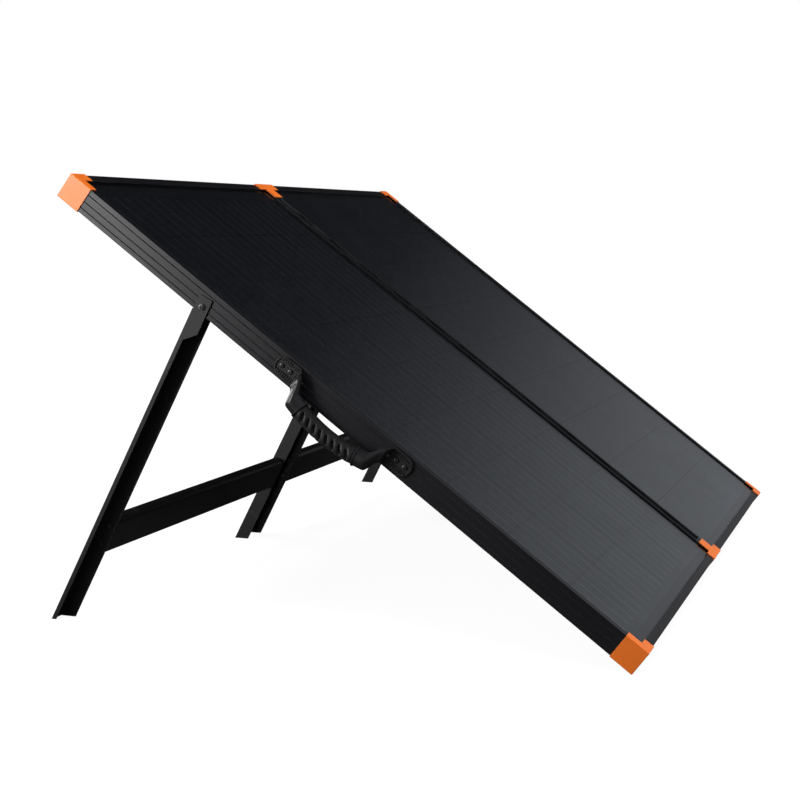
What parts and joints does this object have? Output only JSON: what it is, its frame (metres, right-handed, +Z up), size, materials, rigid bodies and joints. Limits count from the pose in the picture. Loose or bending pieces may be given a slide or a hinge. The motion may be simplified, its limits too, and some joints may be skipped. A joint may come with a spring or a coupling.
{
  "type": "folding solar suitcase panel kit",
  "caption": "Folding suitcase of framed solar panels hinged along a seam, on fold-out leg stands, with orange corner caps and a swinging carrying handle.",
  "frame": {"origin": "on the ground under the middle of the kit's bounding box, set up on its stands", "axes": "+X across the panels from the handle side, +Y towards the panels' high edge, +Z up"},
  "size_m": [1.378, 0.8658, 0.6328],
  "materials": {
    "backsheet": "black laminated backsheet, matt",
    "bare_aluminium": "cast aluminium, unpainted",
    "black_frame": "black anodised aluminium extrusion, satin, with fine lengthwise draw lines",
    "black_hinge": "black coated steel",
    "black_plastic": "black moulded plastic, fine grain",
    "black_stand": "black powder coat on folded sheet and tube, satin",
    "contact_brass": "plated brass contacts in an insulating block",
    "grip_rubber": "black soft-touch rubber",
    "handle_plastic": "black glass-filled nylon, satin",
    "orange_cap": "moulded orange plastic, semi-gloss",
    "seal": "black silicone edge seal",
    "solar_cell": "near-black monocrystalline silicon with a dark blue cast",
    "solar_glass": "tempered low-iron solar glass, clear and smooth",
    "steel_fastener": "blackened steel"
  },
  "bodies": {
    "near_panel": {"handle_bracket_screws": "steel_fastener", "handle_lower_bracket": "handle_plastic", "handle_pins": "steel_fastener", "handle_upper_bracket": "handle_plastic", "hinge_pin": "steel_fastener", "near_backsheet": "backsheet", "near_bottom_corner_caps": "orange_cap", "near_bottom_rail": "black_frame", "near_cable_gland": "black_plastic", "near_cells": "solar_cell", "near_corner_keys": "bare_aluminium", "near_edge_seal": "seal", "near_glass": "solar_glass", "near_hinge_leaf": "black_hinge", "near_hinge_rivets": "steel_fastener", "near_junction_box": "black_plastic", "near_junction_lid": "black_plastic", "near_lid_screws": "steel_fastener", "near_outer_rail": "black_frame", "near_pivot_bushes": "steel_fastener", "near_pivot_rivets": "steel_fastener", "near_seam_rail": "black_frame", "near_terminal_block": "contact_brass", "near_top_corner_caps": "orange_cap", "near_top_rail": "black_frame"},
    "far_panel": {"far_backsheet": "backsheet", "far_bottom_corner_caps": "orange_cap", "far_bottom_rail": "black_frame", "far_cable_gland": "black_plastic", "far_cells": "solar_cell", "far_corner_keys": "bare_aluminium", "far_edge_seal": "seal", "far_glass": "solar_glass", "far_hinge_leaf": "black_hinge", "far_hinge_rivets": "steel_fastener", "far_junction_box": "black_plastic", "far_junction_lid": "black_plastic", "far_lid_screws": "steel_fastener", "far_outer_rail": "black_frame", "far_pivot_bushes": "steel_fastener", "far_pivot_rivets": "steel_fastener", "far_seam_rail": "black_frame", "far_terminal_block": "contact_brass", "far_top_corner_caps": "orange_cap", "far_top_rail": "black_frame"},
    "near_stand": {"near_crossbar": "black_stand", "near_crossbar_plugs": "black_plastic", "near_crossbar_screws": "steel_fastener", "near_inner_leg": "black_stand", "near_outer_leg": "black_stand"},
    "far_stand": {"far_crossbar": "black_stand", "far_crossbar_plugs": "black_plastic", "far_crossbar_screws": "steel_fastener", "far_inner_leg": "black_stand", "far_outer_leg": "black_stand"},
    "handle": {"handle_bail": "handle_plastic", "handle_grip": "grip_rubber"}
  },
  "joints": [
    {"name": "panel_fold", "type": "hinge", "parent": "near_panel", "child": "far_panel", "pos_m": [0.0125, -0.02024, 0.33216], "axis": [0, -0.808, -0.5892], "range_deg": [0, 180]},
    {"name": "near_stand_fold", "type": "hinge", "parent": "near_panel", "child": "near_stand", "pos_m": [-0.3245, 0.19635, 0.45606], "axis": [-1, 0, 0], "range_deg": [0, 80]},
    {"name": "far_stand_fold", "type": "hinge", "parent": "far_panel", "child": "far_stand", "pos_m": [0.3495, 0.19635, 0.45606], "axis": [-1, 0, 0], "range_deg": [0, 80]},
    {"name": "handle_swing", "type": "hinge", "parent": "near_panel", "child": "handle", "pos_m": [-0.6695, -0.00934, 0.31722], "axis": [0, 0.808, 0.5892], "range_deg": [0, 110]}
  ]
}
